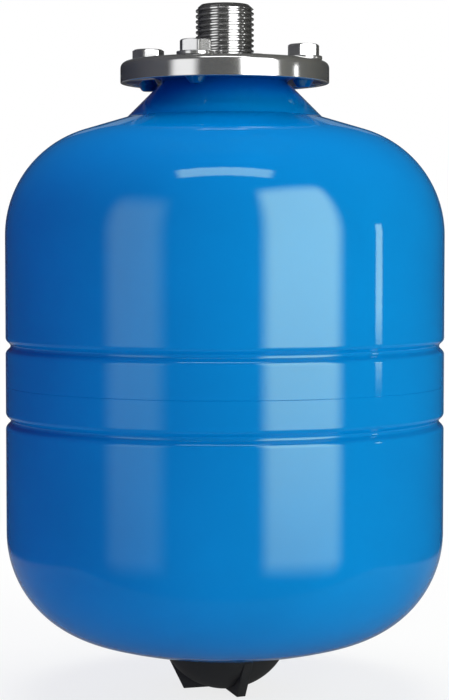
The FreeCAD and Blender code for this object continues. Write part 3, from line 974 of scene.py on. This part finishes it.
def make_spring(steel):
    """The valve's coil spring, wound between the ends of the imported spring."""
    low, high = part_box("valve_spring")
    travel = next(joint for joint in frame["joints"] if joint["name"] == "valve_press")["range_m"][1]
    spring = new_object("valve_coil_spring", bpy.data.meshes.new("valve_coil_spring"))
    run_tree(spring, spring_tree(), {
        "Turns": float(SPRING_TURNS), "Coil Radius": SPRING_RADIUS, "Wire Radius": SPRING_WIRE_RADIUS,
        "Bottom": low.z + SPRING_WIRE_RADIUS, "Top": high.z - SPRING_WIRE_RADIUS,
        "Points": SPRING_POINTS_PER_TURN * SPRING_TURNS, "Material": steel,
    })
    smooth_by_angle(spring.data, 40)
    dress(spring, steel, "tank", "bare_steel", "valve_spring")
    1 - travel / (high.z - low.z)
    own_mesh(spring)


def make_camera():
    camera = bpy.data.cameras.new("camera")
    camera.sensor_width = SENSOR_WIDTH
    camera.lens = FOCAL_PIXELS * SENSOR_WIDTH / PHOTO_LONG_SIDE
    camera.shift_x = (PHOTO_SHORT_SIDE / 2 - CENTRE_PIXEL[0]) / PHOTO_LONG_SIDE
    camera.shift_y = (CENTRE_PIXEL[1] - PHOTO_LONG_SIDE / 2) / PHOTO_LONG_SIDE
    camera.clip_start = 0.01
    camera.clip_end = 50.0
    holder = bpy.data.objects.new("camera", camera)
    holder.location = CAMERA_PLACE
    holder.rotation_euler = (math.pi / 2 - CAMERA_TILT_DOWN, 0.0, 0.0)
    bpy.context.scene.collection.objects.link(holder)
    bpy.context.scene.camera = holder


def make_floor():
    """A pale floor under the tank, white to the camera apart from the tank's soft shadow."""
    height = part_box("protective_cap")[0].z - FLOOR_GAP

    def fill(work):
        bmesh.ops.create_circle(
            work, cap_ends=True, segments=96, radius=12.0, matrix=Matrix.Translation((0, 0, height)),
        )

    floor = new_object("floor", mesh_from("floor", fill))
    material, graph = new_material("pale_floor")
    x, y, z = graph.place()
    radius = (x * x + y * y) ** 0.5
    rays = graph.node("ShaderNodeLightPath")
    seen = Link(graph, rays.outputs["Is Camera Ray"])
    below = graph.value("ShaderNodeNewGeometry", "Backfacing")
    matt = graph.value("ShaderNodeBsdfDiffuse", "BSDF", None, {"Color": rgb(0.8, 0.8, 0.8)})
    white = graph.value("ShaderNodeEmission", "Emission", None, {"Color": rgb(1, 1, 1), "Strength": 1.0})
    clear = graph.value("ShaderNodeBsdfTransparent", "BSDF")
    away = radius.ramp(0.1, 0.5)
    whiteness = FLOOR_GLOW + seen * (0.8 - FLOOR_GLOW + 0.2 * away)
    lit = graph.value("ShaderNodeMixShader", 0, None, {0: whiteness, 1: matt, 2: white})
    shown = graph.value("ShaderNodeMixShader", 0, None, {0: below, 1: lit, 2: clear})
    graph.node("ShaderNodeOutputMaterial", None, {"Surface": shown})
    floor.data.materials.append(material)
    floor.visible_glossy = False


def make_world():
    """White to the camera, and a dim studio to the tank.

    What the gloss mirrors is darker towards the back, and has a pale floor below a curved edge, which
    is dimmer where it is seen steeply.
    """
    world = bpy.data.worlds.new("studio")
    bpy.context.scene.world = world
    world.use_nodes = True
    graph = Graph(world.node_tree)
    rays = graph.node("ShaderNodeLightPath")
    seen = Link(graph, rays.outputs["Is Camera Ray"])
    mirrored = Link(graph, rays.outputs["Is Glossy Ray"])
    where = graph.value("ShaderNodeTexCoord", "Generated")
    parts = graph.node("ShaderNodeSeparateXYZ", None, {"Vector": where})
    x, y, z = (Link(graph, parts.outputs[axis]) for axis in "XYZ")
    front_glow, back_glow = MIRRORED_DAYLIGHT
    across = x * FLOOR_EDGE_SLOPE_ACROSS
    nearer = (y * -FLOOR_EDGE_SLOPE_NEARER).most(0.0)
    down = z * -1.0
    floor_seen = (down - (across * across + nearer * nearer) ** 0.5).ramp(*FLOOR_EDGE_DEPTHS)
    steep = down.ramp(0.15, 0.6)
    floor_glow = MIRRORED_FLOOR * floor_seen * (1.0 - 0.6 * steep)
    behind = y.ramp(-0.2, 0.9)
    glow = front_glow + (back_glow - front_glow) * behind + floor_glow
    dim = DAYLIGHT + mirrored * (glow - DAYLIGHT)
    strength = seen + (1.0 - seen) * dim
    tint = graph.mixed_colour(seen.most(mirrored), rgb(*DAYLIGHT_TINT), rgb(1, 1, 1))
    light = graph.value("ShaderNodeBackground", "Background", None, {"Color": tint, "Strength": strength})
    graph.node("ShaderNodeOutputWorld", None, {"Surface": light})


def softbox(name, radiance, azimuth, elevation, distance, width, height,
            rise=0.0, edge=0.1, foot=0.1, tint=(1, 1, 1), lights=True, mirrored=True):
    """A lamp panel that faces the tank, brightest in its middle.

    azimuth runs from the front towards +X and elevation from the level of the tank's middle, in
    degrees. rise lifts the panel, edge is the soft share of its sides and top, and foot that of its
    lower end. A panel that isn't mirrored lights the tank without showing in its gloss, and one that
    doesn't light it only shows there.
    """
    lamp = bpy.data.lights.new(name, "AREA")
    lamp.shape = "RECTANGLE"
    lamp.size = width
    lamp.size_y = height
    lamp.color = tint
    lamp.energy = radiance * math.pi * width * height
    lamp.use_nodes = True
    graph = Graph(lamp.node_tree)
    where = graph.value("ShaderNodeNewGeometry", "Parametric")
    parts = graph.node("ShaderNodeSeparateXYZ", None, {"Vector": where})
    across, up = Link(graph, parts.outputs["X"]), Link(graph, parts.outputs["Y"])
    sides = (0.5 - (across - 0.5).size()).ramp(0.0, edge)
    ends = up.ramp(0.0, foot) * (1.0 - up).ramp(0.0, edge)
    glow = graph.value("ShaderNodeEmission", "Emission", None, {"Strength": sides * ends})
    graph.node("ShaderNodeOutputLight", None, {"Surface": glow})
    holder = bpy.data.objects.new(name, lamp)
    turn, lift = math.radians(azimuth), math.radians(elevation)
    outward = Vector((math.sin(turn) * math.cos(lift), -math.cos(turn) * math.cos(lift), math.sin(lift)))
    holder.location = outward * distance + Vector((0, 0, TANK_MIDDLE + rise))
    holder.rotation_euler = (-outward).to_track_quat("-Z", "Y").to_euler()
    holder.visible_camera = False
    holder.visible_diffuse = lights
    holder.visible_glossy = mirrored
    bpy.context.scene.collection.objects.link(holder)


def make_lights():
    """Two panels, a strip and a bar that the gloss mirrors, and the softer lamps that light the paint."""
    softbox("right_panel", 6.8, 37.6, 0, 0.70, 0.596, 1.21, rise=0.175, edge=0.2, foot=0.42, lights=False)
    softbox("left_panel", 1.6, -43.9, 0, 0.78, 0.54, 1.13, rise=0.085, edge=0.3, foot=0.54, lights=False)
    softbox("right_strip", 5.5, 83.6, 0, 2.5, 0.21, 0.65, rise=0.11, foot=0.25, lights=False)
    softbox("top_bar", 5.0, 0, 61.5, 0.80, 0.56, 0.13)
    softbox("key_light", 4.25, 39.5, 0, 0.78, 0.74, 0.96, rise=0.10, tint=(1, 1, 0.68), mirrored=False)
    softbox("left_fill", 0.5, -50.0, 0, 0.90, 0.60, 0.80, tint=(0.1, 0.1, 1), mirrored=False)
    softbox("overhead", 8.6, 0, 101.0, 1.30, 1.00, 0.80, tint=(1, 1, 0.82), mirrored=False)
    for side in (-1, 1):
        softbox("back_corner", 0.25, side * 170, 21.0, 1.20, 0.20, 0.14, tint=(0.7, 0.9, 1), lights=False)
    softbox("back_light", 2.0, 180.0, 8.0, 0.95, 0.80, 0.90, mirrored=False)


# The third colour of each paint is painted shade, which it reaches up the neck under the flange
paint = blue_paint("glossy_blue_paint", (0.0, 0.178, 0.545), (0.0, 0.196, 0.59), (0.0, 0.1, 0.58), 0.5)
# The collar and its bosses under the flange: a darker copy of the same blue, painted shade rather than another
# paint
collar_shade_paint = blue_paint("painted_shade_blue_paint", (0.0, 0.045, 0.2), (0.0, 0.06, 0.25), (0.0, 0.05, 0.22), 1.0)
flange_steel = turned_steel("turned_stainless", (0.58, 0.58, 0.58), (0.44, 0.44, 0.44), 0.88, 0.09)
thread_steel = threaded_steel()
zinc = bright_zinc()
plastic = black_plastic()
repeat = repeat_tree()

dress(make_upper_shell(), paint, "tank", "blue_paint", "upper_shell")
dress(make_lower_shell(), paint, "tank", "blue_paint", "lower_shell")
dress(make_collar(repeat, collar_shade_paint), collar_shade_paint, "tank", "blue_paint", "neck_collar")
dress(make_flange(repeat, flange_steel), flange_steel, "tank", "stainless_flange", "flange")
dress(make_nipple(thread_steel), thread_steel, "tank", "stainless_thread", "water_nipple")
numbers = range(1, BOLT_COUNT + 1)
dress(make_bolts(repeat, zinc), zinc, "tank", "zinc_bolts", *(f"flange_bolt_{n}" for n in numbers))
dress(make_washers(repeat, zinc), zinc, "tank", "zinc_bolts", *(f"bolt_washer_{n}" for n in numbers))
dress(make_cap(repeat, plastic), plastic, "cap", "black_plastic", "protective_cap")

inner_materials = {
    "bare_steel": plain_steel(),
    "valve_brass": machined_brass(),
    "membrane_rubber": black_rubber("membrane_rubber", 700.0),
    "seal_rubber": black_rubber("seal_rubber", 2500.0),
}
for subpart in frame["record"]["subparts"]:
    material = inner_materials.get(subpart["material_slot"])
    if material is not None:
        node = frame["nodes"][subpart["node"]]
        node.data.materials.clear()
        node.data.materials.append(material)

make_spring(inner_materials["bare_steel"])
make_camera()
make_floor()
make_world()
make_lights()
bpy.context.scene.view_settings.view_transform = "Standard"
